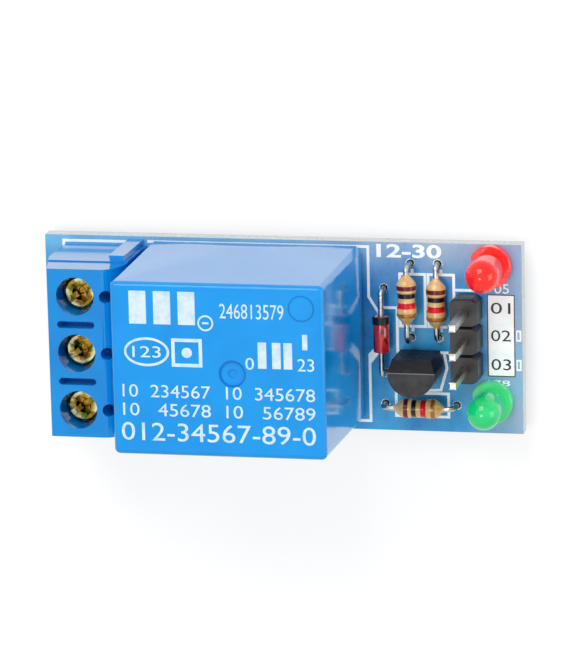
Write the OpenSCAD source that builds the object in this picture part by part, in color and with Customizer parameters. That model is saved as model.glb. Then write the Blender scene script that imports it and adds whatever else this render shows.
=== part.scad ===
// Single channel relay module: a screw terminal, a sealed cube relay and its driver parts on one board.
// Millimetres. +X runs from the terminal to the header, +Z out of the component side.
// The origin is the middle of the board in X and Y, at the tips of the trimmed leads.

/* [Board] */
// Thickness of the board
board_t = 1.6; // [1.2:0.2:2.0]
// How far the trimmed leads stand out below the board
lead_out = 1.6; // [1.4:0.1:2.4]
// Bare board between the terminal's wire face and the board's end
left_margin = 1.85; // [1.0:0.05:4.0]
// Bare board between the light's axis and the board's other end
right_margin = 2.85; // [2.2:0.05:5.0]
// Bare board between the relay and the edge nearest the red light
top_margin = 0.6; // [0.4:0.1:2.0]
// Bare board between the relay and the edge nearest the green light
bottom_margin = 1.0; // [0.6:0.1:3.0]
// Radial clearance of a lead in its plated hole
hole_clear = 0.15; // [0.10:0.01:0.20]
// Thickness of the plating in a hole
plating = 0.05; // [0.03:0.01:0.08]
// Width of the pad around a hole
pad_ring = 0.4; // [0.3:0.05:0.5]
// Height of the solder cone below the board
solder_h = 1.1; // [0.8:0.1:1.3]
// Thickness of the printed ink
ink_t = 0.03; // [0.02:0.01:0.06]
// Width of a printed line
ink_w = 0.18; // [0.12:0.02:0.25]

/* [Screw terminal] */
// Distance from one wire clamp to the next
pole_pitch = 5.08; // [5.00:0.01:5.20]
// Depth of the terminal at the board
term_d = 7.5; // [7.2:0.1:8.6]
// Height of the terminal
term_h = 9.96; // [9.5:0.1:12.0]
// Depth of the terminal's flat top
term_top_d = 4.8; // [4.6:0.1:5.2]
// How far the flat top lies behind the wire face
term_top_back = 0.95; // [0.7:0.05:1.0]
// Diameter of the screwdriver well
well_d = 3.38; // [3.3:0.02:3.6]
// Distance from the wire face to the screw's axis
screw_back = 3.43; // [3.3:0.01:3.6]
// Diameter of the screw's head
head_d = 3.0; // [2.8:0.1:3.1]
// Height of the screw's head
head_h = 1.4; // [1.0:0.1:1.6]
// Depth of the screw's head below the terminal's top when the clamp is open
head_sink = 1.76; // [1.4:0.02:2.2]
// Diameter of the screw's shank
shank_d = 2.5; // [2.3:0.1:2.5]
// Advance of the screw in one turn
screw_lead = 0.45; // [0.35:0.05:0.5]
// How far a screw travels from open to closed
screw_travel = 1.8; // [1.2:0.1:1.8]
// Radial clearance of the screw in the threaded wall
thread_clear = 0.05; // [0.02:0.01:0.08]
// Thickness of the clamp frame's threaded wall
frame_top_t = 1.2; // [1.0:0.1:1.3]
// Thickness of the clamp frame's other walls
frame_wall = 0.6; // [0.5:0.05:0.65]
// Height of the clamp frame
frame_h = 4.5; // [4.4:0.1:4.8]
// Length of the clamp frame along the wire
frame_l = 3.7; // [3.4:0.1:3.8]
// Clearance of the clamp frame in its chamber
chamber_clear = 0.05; // [0.03:0.01:0.10]
// Thickness of the wall between two chambers
rib_wall = 1.0; // [0.9:0.05:1.2]
// Thickness of the wire guard's strip
guard_t = 0.3; // [0.25:0.05:0.35]
// Sliding clearance of the wire guard in the clamp frame
guard_clear = 0.08; // [0.05:0.01:0.10]
// Height of the wire guard's upturned ends
guard_lip = 1.1; // [0.8:0.1:1.2]
// Diameter of a wire entry
entry_d = 2.3; // [1.8:0.1:2.3]
// Outer diameter of a wire entry's funnel
funnel_d = 3.4; // [2.8:0.1:3.6]
// Depth of the funnel
funnel_depth = 0.4; // [0.3:0.05:0.5]

/* [Relay] */
// Length of the relay at its base
relay_l = 19.2; // [18.8:0.1:20.0]
// Width of the relay at its base
relay_w = 15.4; // [15.2:0.1:16.0]
// Height of the relay above the board
relay_h = 15.5; // [15.2:0.1:17.0]
// How much the cover narrows in length towards its top
cover_draft_l = 0.45; // [0.1:0.05:0.6]
// How much the cover narrows in width towards its top
cover_draft_w = 0.15; // [0.05:0.05:0.3]
// How far the cover's sides bow out at mid length above the rim
cover_bow = 0.12; // [0:0.02:0.16]
// Wall thickness of the cover
cover_wall = 0.7; // [0.5:0.05:0.75]
// Corner radius of the cover
cover_r = 0.5; // [0.4:0.05:0.6]
// Gap under the cover, kept by the base's small feet
relay_lift = 0.3; // [0.2:0.05:0.4]
// Gap between the terminal and the relay
relay_gap = 0.25; // [0.2:0.05:1.0]
// Thickness of the relay's base
base_t = 1.5; // [1.2:0.1:1.6]
// Clearance of the base inside the cover
base_clear = 0.03; // [0.02:0.01:0.06]
// Distance from the relay's middle to the common blade
common_dx = 7.1; // [6.9:0.05:7.15]
// Distance from the relay's middle to the coil pins
coil_pin_dx = 5.1; // [4.95:0.05:5.2]
// Distance from the relay's middle to the switched blades
contact_dx = 7.1; // [6.9:0.05:7.3]
// Distance from the relay's middle line to its outer pins
pin_dy = 6.0; // [5.9:0.05:6.05]
// Diameter of the iron core
core_d = 4.0; // [3.4:0.1:4.2]
// Diameter of the core's pole face
pole_d = 6.0; // [5.4:0.1:6.6]
// Thickness of the pole face
pole_t = 0.65; // [0.5:0.05:0.8]
// Outer diameter of the copper winding
coil_d = 9.2; // [8.0:0.1:9.4]
// Length of the copper winding
coil_h = 7.2; // [6.8:0.1:7.4]
// Thickness of the bobbin's flanges
flange_t = 0.6; // [0.5:0.05:0.7]
// Thickness of the bobbin's tube
bobbin_wall = 0.5; // [0.4:0.05:0.6]
// Thickness of the yoke
yoke_t = 1.1; // [1.0:0.05:1.2]
// Width of the yoke
yoke_w = 8.0; // [7.0:0.1:8.6]
// Air gap between the pole face and the released armature
air_gap = 0.4; // [0.3:0.05:0.45]
// Thickness of the armature
armature_t = 0.9; // [0.8:0.05:1.0]
// Thickness of the spring arm
spring_t = 0.25; // [0.15:0.05:0.3]
// Diameter of a contact
contact_d = 1.8; // [1.4:0.1:2.0]
// Thickness of a contact
contact_t = 0.35; // [0.3:0.05:0.4]
// Gap between two closed contacts, for their roughness
contact_touch = 0.05; // [0.03:0.01:0.08]

/* [Header] */
// Distance from one header pin to the next
header_pitch = 2.54; // [2.50:0.01:2.56]
// Height of the header's plastic
header_h = 2.54; // [2.3:0.01:2.8]
// Width of the header's plastic
header_w = 2.45; // [2.3:0.01:2.54]
// Width across a header pin
header_pin = 0.64; // [0.60:0.01:0.66]
// Height of the pins' tips above the board
header_pin_h = 8.5; // [7.0:0.1:9.5]
// Depth of the notches between the header's segments
header_notch = 0.5; // [0.3:0.05:0.6]
// Position of the header's middle across the board
header_y = 0.26; // [-0.4:0.02:0.5]

/* [Resistors] */
// Diameter of a resistor's ends
res_d = 1.72; // [1.6:0.02:1.9]
// Diameter of a resistor's waist
res_waist = 1.5; // [1.4:0.02:1.55]
// Length of a resistor's body
res_l = 3.2; // [3.1:0.05:3.6]
// Length of the lacquer drawn out along each wire
res_cone = 0.7; // [0.5:0.05:0.8]
// Diameter of the resistor's and diode's wires
wire_d = 0.5; // [0.45:0.01:0.55]
// Inner bend radius of a wire
bend_r = 0.3; // [0.2:0.05:0.35]
// Distance between the holes of an upright resistor pair
res_pitch = 6.66; // [6.4:0.02:7.2]
// Distance between the holes of the lower resistor
res3_pitch = 6.4; // [6.3:0.02:6.8]
// Height of the outer resistor's axis above the board
res1_z = 2.0; // [1.2:0.05:2.4]
// Height of the inner resistor's axis above the board
res2_z = 1.0; // [0.95:0.05:1.6]
// Height of the lower resistor's axis above the board
res3_z = 2.1; // [1.2:0.05:2.4]
// Position of the resistor pair's middle across the board
res_pair_y = 3.32; // [3.1:0.02:3.5]
// Position of the lower resistor across the board
res3_y = -6.07; // [-6.3:0.01:-5.9]
// Clear gap between the two upright resistors
res_gap = 0.73; // [0.6:0.01:1.0]
// Thickness of the painted bands
band_t = 0.02; // [0.01:0.01:0.03]

/* [Diode] */
// Diameter of the glass body
diode_d = 1.6; // [1.5:0.02:1.8]
// Length of the glass body
diode_l = 3.25; // [3.0:0.05:3.6]
// Diameter of the slugs inside the glass
slug_d = 0.9; // [0.7:0.05:1.0]
// Height of the diode's axis above the board
diode_z = 1.5; // [1.2:0.05:2.0]
// Distance between the diode's holes
diode_pitch = 7.62; // [7.2:0.02:7.9]
// Position of the diode's middle across the board
diode_y = 0.55; // [0.3:0.01:0.8]
// Clear gap between the relay and the diode
diode_gap = 1.1; // [0.9:0.05:2.0]
// Clear gap between the diode and the first resistor
diode_res_gap = 0.74; // [0.6:0.02:1.0]

/* [Transistor] */
// Width of the transistor's body
to92_w = 4.2; // [4.0:0.05:4.5]
// Depth of the transistor's body
to92_d = 3.25; // [3.0:0.05:3.4]
// Height of the transistor's body
to92_h = 4.5; // [4.2:0.05:4.8]
// Height of the transistor's body above the board
to92_lift = 0.8; // [0.5:0.05:1.6]
// Distance from one leg to the next
leg_pitch = 1.27; // [1.24:0.01:1.30]
// Width across a leg
leg_w = 0.42; // [0.38:0.01:0.46]
// Position of the flat face across the board
to92_y = -0.95; // [-1.1:0.01:-0.9]

/* [Indicator lights] */
// Diameter of the lens
lens_d = 2.95; // [2.8:0.05:3.1]
// Height of the lens above the board
lens_h = 5.3; // [4.4:0.1:6.0]
// Diameter of the lens flange
rim_d = 3.8; // [3.6:0.05:3.9]
// Height of the lens flange
rim_h = 1.0; // [0.8:0.05:1.2]
// Distance between the light's two legs
light_pitch = 2.54; // [2.50:0.01:2.60]
// Width across a light's leg
light_leg = 0.5; // [0.45:0.01:0.55]
// Position of the green light across the board
green_y = -5.6; // [-5.8:0.02:-5.5]
// Clear gap between the header and the light's lens axis
light_gap = 0.68; // [0.6:0.02:1.0]
// Clear gap between the inner resistor and the header
header_gap = 0.61; // [0.55:0.02:0.9]

/* [Hidden] */

$fn = 48;
cut = 0.1; // how far a cut runs past the surface it opens

// Heights of the board's two faces
z_low = lead_out;
z_top = lead_out + board_t;

// Outline of the board, and the places of the parts along it
board_w = relay_w + top_margin + bottom_margin;
diode_from_relay = diode_gap + diode_d / 2;
res1_from_diode = diode_d / 2 + diode_res_gap + res_d / 2;
res2_from_res1 = res_d + res_gap;
header_from_res2 = res_d / 2 + header_gap + header_w / 2;
light_from_header = header_w / 2 + light_gap;
board_l = left_margin + term_d + relay_gap + relay_l + diode_from_relay + res1_from_diode
  + res2_from_res1 + header_from_res2 + light_from_header + right_margin;
board_top = board_w / 2;
board_right = board_l / 2;
term_x = left_margin - board_right;
relay_x = term_x + term_d + relay_gap + relay_l / 2;
relay_y = bottom_margin + relay_w / 2 - board_top;
diode_x = relay_x + relay_l / 2 + diode_from_relay;
res1_x = diode_x + res1_from_diode;
res2_x = res1_x + res2_from_res1;
header_x = res2_x + header_from_res2;
light_x = header_x + light_from_header;
red_y = board_top - rim_d / 2;
res3_x = diode_x + res3_pitch / 2;
to92_x = (res1_x + res2_x) / 2 - 0.3;
label_x = board_right - 1.88;

// Screw terminal
POLES = [1, 2, 3];
term_l = pole_pitch * len(POLES);
term_y = relay_y - 0.13;
screw_x = term_x + screw_back;
chamber_w = pole_pitch - rib_wall;
frame_w = chamber_w - 2 * chamber_clear;
frame_z = 0.3;
chamber_h = frame_z + frame_h + 0.1;
guard_l = frame_l + 2 * (guard_clear + guard_t);
chamber_l = guard_l + 0.2;
window_w = frame_w - 2 * frame_wall;
window_low = frame_z + frame_wall;
window_top = frame_z + frame_h - frame_top_t;
guard_z = window_top - guard_clear - guard_t;
guard_w = window_w - 2 * guard_clear;
tip_gap = 0.05;
shank_low = guard_z + guard_t + tip_gap;
head_top = term_h - head_sink;
head_low = head_top - head_h;
entry_z = (window_low + guard_z) / 2;
step_h = 6.9;
step_in = 0.1;
key_h = 7.0;
key_out = 0.55;
key_w = 1.1;
key_flare = 0.15;
key_x = term_x + term_d - 1.0;

// Relay
base_top = relay_lift + base_t;
cavity_top = relay_h - cover_wall;
core_x = 1.0;
yoke_out = common_dx + 0.4;
yoke_in = yoke_out - yoke_t;
leg_top = base_top + yoke_t;
winding_low = leg_top + flange_t;
winding_top = winding_low + coil_h;
pole_low = winding_top + flange_t;
pole_top = pole_low + pole_t;
armature_z = pole_top + air_gap;
armature_end = core_x - pole_d / 2 - 0.6;
spring_z = armature_z + armature_t;
pull_angle = asin((air_gap - 0.02) / (yoke_in - core_x + pole_d / 2));
contact_drop = (yoke_in + contact_dx + contact_d / 2) * sin(pull_angle);
open_tip_z = spring_z - contact_t - contact_drop - contact_touch;
closed_tip_z = spring_z + spring_t + contact_t + contact_touch;
blade_t = 0.5;
blade_w = 1.0;
arm_t = 0.35;
arm_w = 1.6;
coil_pin = 0.6;
bobbin_half = coil_d / 2 + 0.3;

// Lead sites: x, y, width, depth (0 for a round wire of that width), width of the pad's ring
function relay_site(dx, dy, w, d) = [relay_x + dx, relay_y + dy, w, d, pad_ring];
open_site = relay_site(-contact_dx, -pin_dy, blade_t, blade_w);
closed_site = relay_site(-contact_dx, pin_dy, blade_t, blade_w);
common_site = relay_site(common_dx, 0, blade_t, blade_w);
coil_sites = [for (side = [-1, 1]) relay_site(coil_pin_dx, side * pin_dy, coil_pin, coil_pin)];
pole_pin = [0.8, 1.0];
function pole_y(pole) = term_y + (2 - pole) * pole_pitch;
pole_sites = [for (pole = POLES) [screw_x, pole_y(pole), pole_pin[0], pole_pin[1], pad_ring]];
header_sites = [for (i = [-1:1]) [header_x, header_y + i * header_pitch, header_pin, header_pin, pad_ring]];
wire_ring = pad_ring - 0.05;
function pair_sites(x, y, pitch, angle) = [
  for (side = [-1, 1])
    [x + side * pitch / 2 * cos(angle), y + side * pitch / 2 * sin(angle), wire_d, 0, wire_ring]
];
res1_sites = pair_sites(res1_x, res_pair_y, res_pitch, 90);
res2_sites = pair_sites(res2_x, res_pair_y, res_pitch, 90);
res3_sites = pair_sites(res3_x, res3_y, res3_pitch, 0);
diode_sites = pair_sites(diode_x, diode_y, diode_pitch, 90);
leg_y = to92_y - 1.15;
leg_ring = 0.12;
leg_sites = [for (i = [-1:1]) [to92_x + i * leg_pitch, leg_y, leg_w, leg_w, leg_ring]];
function light_sites(y) = [
  for (side = [-1, 1]) [light_x + side * light_pitch / 2, y, light_leg, light_leg, wire_ring]
];
sites = concat([open_site, closed_site, common_site], coil_sites, pole_sites, header_sites, res1_sites,
  res2_sites, res3_sites, diode_sites, leg_sites, light_sites(red_y), light_sites(green_y));
function lead_r(site) = site[3] == 0 ? site[2] / 2 : norm([site[2], site[3]]) / 2;
function hole_r(site) = lead_r(site) + (site[4] == leg_ring ? hole_clear / 2 : hole_clear);
function pad_r(site) = hole_r(site) + site[4];

// ---------- Board ----------

module lead_section(site) {
  translate([site[0], site[1]])
    if (site[3] == 0) circle(d = site[2]);
    else square([site[2], site[3]], center = true);
}

module lead(site, low, high) {
  translate([0, 0, low]) linear_extrude(high - low) lead_section(site);
}

// Plated hole with a pad on each face, flush with the faces
module plated_hole(site) {
  translate([site[0], site[1], z_low]) difference() {
    union() {
      cylinder(r = hole_r(site), h = board_t);
      cylinder(r = pad_r(site), h = plating);
      translate([0, 0, board_t - plating]) cylinder(r = pad_r(site), h = plating);
    }
    translate([0, 0, -cut]) cylinder(r = hole_r(site) - plating, h = board_t + 2 * cut);
  }
}

module plated_holes() {
  color("silver") for (site = sites) plated_hole(site);
}

module board() {
  color("royalblue") difference() {
    translate([-board_l / 2, -board_w / 2, z_low]) cube([board_l, board_w, board_t]);
    for (site = sites) translate([site[0], site[1], z_low]) {
      translate([0, 0, -cut]) cylinder(r = hole_r(site), h = board_t + 2 * cut);
      translate([0, 0, -cut]) cylinder(r = pad_r(site), h = plating + cut);
      translate([0, 0, board_t - plating]) cylinder(r = pad_r(site), h = plating + cut);
    }
  }
}

// Solder drawn down along a lead, with a hollow flank
module solder_joint(site) {
  foot = pad_r(site) - 0.05;
  neck = lead_r(site) + 0.08;
  flank = [for (t = [0:15:90]) [foot - (foot - neck) * sin(t), -solder_h * (1 - cos(t))]];
  difference() {
    translate([site[0], site[1], z_low]) rotate_extrude() polygon(concat([[0, 0]], flank, [[0, -solder_h]]));
    lead(site, z_low - solder_h - cut, z_low + cut);
  }
}

module solder_joints() {
  color("lightgray") for (site = sites) solder_joint(site);
}

// ---------- Printed ink ----------

module ink_line(from, to) {
  run = to - from;
  translate(from) rotate(atan2(run[1], run[0])) translate([-ink_w / 2, -ink_w / 2])
    square([norm(run) + ink_w, ink_w]);
}

module ink_path(points) {
  for (i = [1:len(points) - 1]) ink_line(points[i - 1], points[i]);
}

module ink_box(middle, size) {
  half = size / 2;
  corners = [for (s = [[-1, -1], [1, -1], [1, 1], [-1, 1], [-1, -1]]) middle + [s[0] * half[0], s[1] * half[1]]];
  ink_path(corners);
}

// Box around a resistor, with a stub towards each hole
module ink_resistor(middle, along, length, width) {
  translate(middle) rotate(along) {
    ink_box([0, 0], [length, width]);
    for (side = [-1, 1]) ink_line([side * length / 2, 0], [side * (length / 2 + 0.35), 0]);
  }
}

// Relay outline: its printed end narrows where the diode's wires go down
module ink_relay() {
  x = relay_x + relay_l / 2 + 0.45;
  bump = 0.9;
  high = relay_y + relay_w / 2 + 0.15;
  low = relay_y - relay_w / 2 - 0.1;
  ink_path([
    [relay_x - relay_l / 2, high], [x, high], [x, diode_y + 3.0], [x + bump, diode_y + 1.5],
    [x + bump, diode_y - 1.9], [x, diode_y - 3.0], [x, low], [relay_x - relay_l / 2, low]
  ]);
  polygon([[x, diode_y - 2.3], [x + bump, diode_y - 1.2], [x + bump, diode_y - 1.9], [x, diode_y - 3.1]]);
}

module ink_terminal() {
  high = term_y + term_l / 2 + 0.3;
  low = term_y - term_l / 2 - 0.3;
  for (y = [low, high]) ink_line([term_x - 0.1, y], [term_x + term_d - 1.9, y]);
  ink_line([term_x - 0.1, low], [term_x - 0.1, high]);
}

module ink_transistor() {
  middle = [to92_x + 0.35, leg_y - 0.9];
  intersection() {
    translate(middle) difference() {
      circle(r = 2.3);
      circle(r = 2.3 - ink_w);
    }
    translate(middle + [-3, -3]) square([6, 3.9]);
  }
}

module printed_ink() {
  color("white") translate([0, 0, z_top]) linear_extrude(ink_t) difference() {
    union() {
      ink_relay();
      ink_terminal();
      ink_resistor([res1_x + 0.1, res_pair_y], 90, 4.6, 2.2);
      ink_resistor([res2_x + 0.2, res_pair_y], 90, 4.6, 2.2);
      ink_resistor([res3_x, res3_y - 0.05], 0, 5.0, 2.1);
      ink_path([[res1_x - 1.3, 2.66], [res1_x - 1.3, -1.35], [res2_x + 0.8, -1.3]]);
      ink_transistor();
      ink_path([[header_x - 1.05, header_y + 4.07], [header_x + 1.4, header_y + 4.07]]);
      translate([label_x - 1.27, header_y - 3.58]) square([2.53, 7.28]);
    }
    for (site = sites) translate([site[0], site[1]]) circle(r = pad_r(site) + 0.1);
    translate([header_x, header_y]) square([header_w + 0.3, 3 * header_pitch + 0.3], center = true);
    for (y = [red_y, green_y]) translate([light_x, y]) circle(d = rim_d + 0.2);
  }
}

// ---------- Screw terminal ----------

module at_pole(pole) {
  translate([screw_x, pole_y(pole), z_top]) children();
}

// Side outline of the terminal: sloped wire face, flat top, rounded shoulder towards the relay
module terminal_outline() {
  top_back = term_top_back + term_top_d;
  shoulder = term_d - top_back;
  shoulder_h = 3.5;
  polygon(concat(
    [[0, 0], [0, 5.5], [term_top_back, term_h]],
    [for (t = [90:-10:0]) [term_d - shoulder * (1 - cos(t)), term_h - shoulder_h * (1 - sin(t))]],
    [[term_d, 0]]
  ));
}

module terminal_slab(length) {
  translate([0, length / 2, 0]) rotate([90, 0, 0]) linear_extrude(length) terminal_outline();
}

// Dovetail that joins one terminal to the next
module key_outline(grow) {
  polygon([
    [-key_w / 2 - grow, -cut], [key_w / 2 + grow, -cut],
    [key_w / 2 + key_flare + grow, key_out + grow], [-key_w / 2 - key_flare - grow, key_out + grow]
  ]);
}

// Well, chamber and wire entry of one pole, seen from the screw's axis
module pole_hollow() {
  translate([0, 0, chamber_h - cut]) cylinder(d = well_d, h = term_h);
  translate([-chamber_l / 2, -chamber_w / 2, -cut]) cube([chamber_l, chamber_w, chamber_h + cut]);
  translate([-screw_back, 0, entry_z]) rotate([0, 90, 0]) {
    cylinder(d1 = funnel_d, d2 = entry_d, h = funnel_depth);
    translate([0, 0, -cut]) cylinder(d = funnel_d, h = cut);
    cylinder(d = entry_d, h = screw_back);
  }
  translate([term_top_back + term_top_d - screw_back + 0.4, 0, term_h - 3]) cylinder(d = 1.1, h = 4, $fn = 24);
}

module terminal_housing() {
  color("dodgerblue") difference() {
    union() {
      translate([term_x, term_y, z_top]) {
        terminal_slab(term_l - 2 * step_in);
        intersection() {
          terminal_slab(term_l);
          translate([-cut, -term_l, 0]) cube([term_d + 2 * cut, 2 * term_l, step_h]);
        }
      }
      translate([key_x, term_y + term_l / 2, z_top]) linear_extrude(key_h) key_outline(0);
    }
    for (pole = POLES) at_pole(pole) pole_hollow();
    translate([key_x, term_y - term_l / 2, z_top - cut]) linear_extrude(key_h + 0.2 + cut) key_outline(0.05);
    for (side = [-1, 1])
      translate([screw_x, term_y + side * pole_pitch / 2, z_top + term_h - 0.5]) linear_extrude(1) {
        square([2.75, 0.6], center = true);
        for (end = [-1, 1]) translate([end * 1.375, 0]) circle(d = 0.6, $fn = 24);
      }
  }
}

// Threaded brass frame with its solder pin, one for each pole
module clamp_frame(site) {
  union() {
    translate([site[0], site[1], z_top]) difference() {
      translate([-frame_l / 2, -frame_w / 2, frame_z]) cube([frame_l, frame_w, frame_h]);
      translate([-frame_l, -window_w / 2, window_low]) cube([2 * frame_l, window_w, window_top - window_low]);
      translate([0, 0, window_top - cut]) cylinder(d = shank_d + 2 * thread_clear, h = term_h);
    }
    lead(site, 0, z_top + window_low);
  }
}

module clamp_frames() {
  color("darkgoldenrod") for (site = pole_sites) clamp_frame(site);
}

// Screw with a slot and a cross recess in its head
module clamp_screw(pole) {
  edge = 0.25;
  color("khaki") at_pole(pole) difference() {
    union() {
      translate([0, 0, head_low]) cylinder(d = head_d, h = head_h - edge);
      translate([0, 0, head_top - edge]) cylinder(d1 = head_d, d2 = head_d - 2 * edge, h = edge);
      translate([0, 0, shank_low + edge]) cylinder(d = shank_d, h = head_low - shank_low);
      translate([0, 0, shank_low]) cylinder(d1 = shank_d - 2 * edge, d2 = shank_d, h = edge);
    }
    rotate(35) {
      translate([0, 0, head_top]) cube([head_d + 1, 0.5, 1.1], center = true);
      translate([0, 0, head_top]) cube([0.55, 1.9, 1.5], center = true);
      translate([0, 0, head_top - 0.9]) cylinder(d1 = 0.5, d2 = 1.5, h = 1);
    }
  }
}

module clamp_screw_1() { clamp_screw(1); }
module clamp_screw_2() { clamp_screw(2); }
module clamp_screw_3() { clamp_screw(3); }

// Strip under the screw's tip, with upturned ends that ride on the frame
module wire_guard(pole) {
  color("gainsboro") at_pole(pole) difference() {
    translate([-guard_l / 2, -guard_w / 2, guard_z]) cube([guard_l, guard_w, guard_lip + guard_t]);
    inner_l = guard_l - 2 * guard_t;
    translate([-inner_l / 2, -guard_w, guard_z + guard_t]) cube([inner_l, 2 * guard_w, guard_lip + cut]);
  }
}

module wire_guard_1() { wire_guard(1); }
module wire_guard_2() { wire_guard(2); }
module wire_guard_3() { wire_guard(3); }

// ---------- Relay ----------

module at_relay() {
  translate([relay_x, relay_y, z_top]) children();
}

// Rectangle with bowed sides and small round corners
module bowed_section(length, width, bow) {
  steps = 6;
  count = bow > 0 ? steps : 1;
  function side(half_run, half_rise) = [
    for (i = [-count:count]) [half_run * i / count, half_rise + bow * (1 - pow(i / count, 2))]
  ];
  top = side(length / 2 - cover_r, width / 2);
  end = side(width / 2 - cover_r, length / 2);
  polygon(concat(
    [for (p = top) p],
    [for (i = [len(end) - 1:-1:0]) [end[i][1], end[i][0]]],
    [for (i = [len(top) - 1:-1:0]) [top[i][0], -top[i][1]]],
    [for (p = end) [-p[1], p[0]]]
  ));
}

// Drafted box: bowed sides above the rim and rounded upper edges
module cover_form(inset, low, high, edge_r, bow) {
  length = relay_l - 2 * inset;
  width = relay_w - 2 * inset;
  top_l = length - cover_draft_l;
  top_w = width - cover_draft_w;
  bow_z = 2.2;
  hull() {
    translate([0, 0, low]) linear_extrude(0.3) bowed_section(length, width, 0);
    if (bow > 0) translate([0, 0, bow_z]) linear_extrude(0.3)
      bowed_section(length - cover_draft_l * bow_z / relay_h, width - cover_draft_w * bow_z / relay_h, bow);
    for (sx = [-1, 1], sy = [-1, 1])
      translate([sx * (top_l / 2 - edge_r), sy * (top_w / 2 - edge_r), high - edge_r]) sphere(edge_r, $fn = 24);
  }
}

module relay_cover() {
  vent_d = 2.2;
  vent_depth = 0.15;
  color("deepskyblue") at_relay() difference() {
    cover_form(0, relay_lift, relay_h, cover_r, cover_bow);
    cover_form(cover_wall, relay_lift - 0.2, cavity_top, cover_r / 2, 0);
    translate([1.3, -0.2, relay_h - vent_depth]) cylinder(d = vent_d, h = 1);
    translate([1.3, -0.2, relay_h - 2 * vent_depth]) cylinder(d = 0.8, h = 1);
  }
}

module relay_base() {
  length = relay_l - 2 * (cover_wall + base_clear) - cover_draft_l / 6;
  width = relay_w - 2 * (cover_wall + base_clear) - cover_draft_w / 6;
  color("steelblue") difference() {
    at_relay() {
      translate([0, 0, relay_lift]) linear_extrude(base_t) difference() {
        square([length, width], center = true);
        for (sx = [-1, 1], sy = [-1, 1]) translate([sx * length / 2, sy * width / 2])
          rotate(45) square(2 * cover_r, center = true);
      }
      for (sx = [-1, 1], sy = [-1, 1])
        translate([sx * (length / 2 - 4.2), sy * (width / 2 - 1.4), 0]) cylinder(d = 1.5, h = relay_lift + cut);
    }
    for (site = concat([open_site, closed_site, common_site], coil_sites))
      lead(site, z_top - cut, z_top + base_top + cut);
  }
}

// L-shaped iron yoke: one leg under the bobbin, one leg up to the armature
module relay_yoke() {
  color("lightslategray") at_relay() difference() {
    union() {
      translate([-1.6, -yoke_w / 2, base_top]) cube([yoke_out + 1.6, yoke_w, yoke_t]);
      translate([yoke_in, -yoke_w / 2, base_top]) cube([yoke_t, yoke_w, armature_z - base_top]);
    }
    translate([core_x, 0, base_top - cut]) cylinder(d = core_d, h = yoke_t + 2 * cut);
  }
}

module relay_core() {
  color("silver") at_relay() translate([core_x, 0, 0]) {
    translate([0, 0, base_top]) cylinder(d = core_d, h = pole_low - base_top);
    translate([0, 0, pole_low]) cylinder(d = pole_d, h = pole_t);
  }
}

// Bobbin with an ear around each coil pin
module relay_bobbin() {
  ear = 1.6;
  color("whitesmoke") difference() {
    at_relay() difference() {
      union() {
        for (z = [leg_top, winding_top]) translate([core_x - bobbin_half, -bobbin_half, z])
          cube([2 * bobbin_half, 2 * bobbin_half, flange_t]);
        translate([core_x, 0, leg_top]) cylinder(d = core_d + 2 * bobbin_wall, h = winding_top - leg_top + cut);
        for (side = [-1, 1]) translate([coil_pin_dx - ear / 2, side > 0 ? 0 : -pin_dy - ear / 2, leg_top])
          cube([ear, pin_dy + ear / 2, flange_t]);
      }
      translate([core_x, 0, leg_top - cut]) cylinder(d = core_d, h = coil_h + 2 * flange_t + 2 * cut);
    }
    for (site = coil_sites) lead(site, z_top, z_top + winding_low + cut);
  }
}

module relay_winding() {
  color("orangered") at_relay() translate([core_x, 0, winding_low]) difference() {
    cylinder(d = coil_d, h = coil_h);
    translate([0, 0, -cut]) cylinder(d = core_d + 2 * bobbin_wall, h = coil_h + 2 * cut);
  }
}

module relay_coil_pins() {
  color("silver") for (site = coil_sites) lead(site, 0, z_top + winding_low + 0.8);
}

module relay_common_blade() {
  color("silver") lead(common_site, 0, z_top + base_top);
}

module relay_armature() {
  color("slategray") at_relay() translate([armature_end, -yoke_w / 2 + 0.2, armature_z])
    cube([yoke_out - armature_end, yoke_w - 0.4, armature_t]);
}

// Spring strip on the armature: wide over the iron, narrow towards the contact
module relay_spring_arm() {
  reach = contact_dx + contact_d / 2 + 0.2;
  neck = 1.3;
  color("darkkhaki") at_relay() translate([0, 0, spring_z]) linear_extrude(spring_t) polygon([
    [yoke_out - 0.3, -3], [yoke_out - 0.3, 3], [armature_end + 1, 3], [armature_end - 1, neck],
    [-reach, neck], [-reach, -neck], [armature_end - 1, -neck], [armature_end + 1, -3]
  ]);
}

// Fixed end of the spring strip, riveted to the back of the yoke
module relay_spring_anchor() {
  color("darkkhaki") at_relay() union() {
    translate([yoke_out, -3, armature_z - 7]) cube([spring_t, 6, 6.8]);
    for (z = [-2.2, -5.2]) translate([yoke_out + spring_t - 0.05, 0, armature_z + z]) rotate([0, 90, 0])
      cylinder(d = 1.4, h = 0.3);
  }
}

module relay_moving_contact() {
  color("silver") at_relay() for (z = [spring_z - contact_t, spring_z + spring_t])
    translate([-contact_dx, 0, z]) cylinder(d = contact_d, h = contact_t);
}

module relay_fixed_contacts() {
  color("silver") at_relay() for (z = [open_tip_z - contact_t, closed_tip_z])
    translate([-contact_dx, 0, z]) cylinder(d = contact_d, h = contact_t);
}

// Blade with an arm that reaches from its side of the relay to the contact
module switch_blade(site, side, arm_z) {
  lead(site, 0, z_top + arm_z + arm_t);
  at_relay() translate([-contact_dx - arm_w / 2, side > 0 ? -arm_w / 2 : -pin_dy - blade_w / 2, arm_z])
    cube([arm_w, pin_dy + (arm_w + blade_w) / 2, arm_t]);
}

module relay_open_blade() {
  color("peru") union() { switch_blade(open_site, -1, open_tip_z - contact_t - arm_t); }
}

module relay_closed_blade() {
  color("peru") union() { switch_blade(closed_site, 1, closed_tip_z + contact_t); }
}

// ---------- Header ----------

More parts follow.
